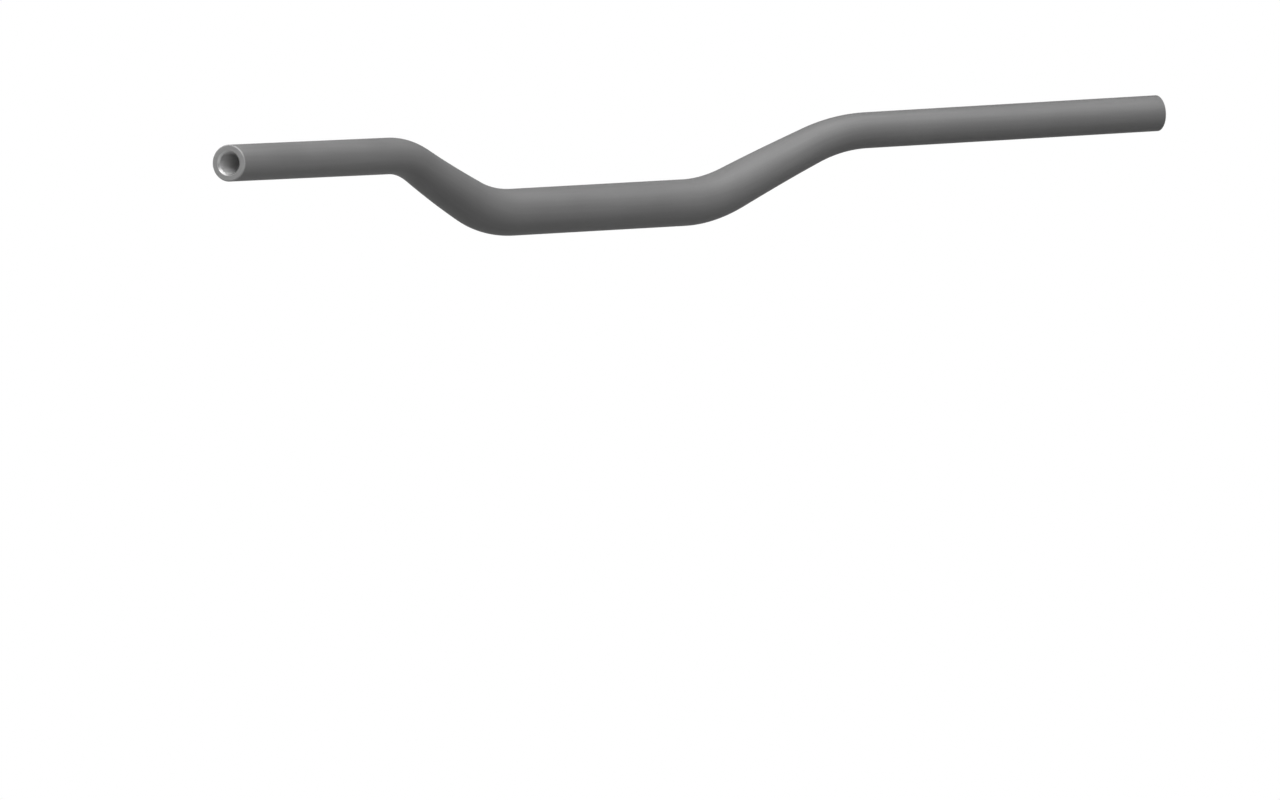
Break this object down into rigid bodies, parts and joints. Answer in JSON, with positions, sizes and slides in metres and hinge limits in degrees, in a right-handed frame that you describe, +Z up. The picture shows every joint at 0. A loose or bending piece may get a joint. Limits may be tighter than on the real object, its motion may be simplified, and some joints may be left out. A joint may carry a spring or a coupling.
{
  "type": "motocross handlebar",
  "caption": "One-piece tapered tube handlebar with a thick straight clamp seat, raised and swept-back grips and open ends.",
  "frame": {"origin": "middle of the clamp seat, on the tube's axis", "axes": "+X along the clamp seat to the rider's right, +Y forward, +Z up, in the mounted attitude"},
  "size_m": [0.8176, 0.1112, 0.0711],
  "materials": {
    "tube_metal": "satin grey anodised"
  },
  "bodies": {
    "root": {"handlebar_tube": "tube_metal"}
  },
  "joints": []
}
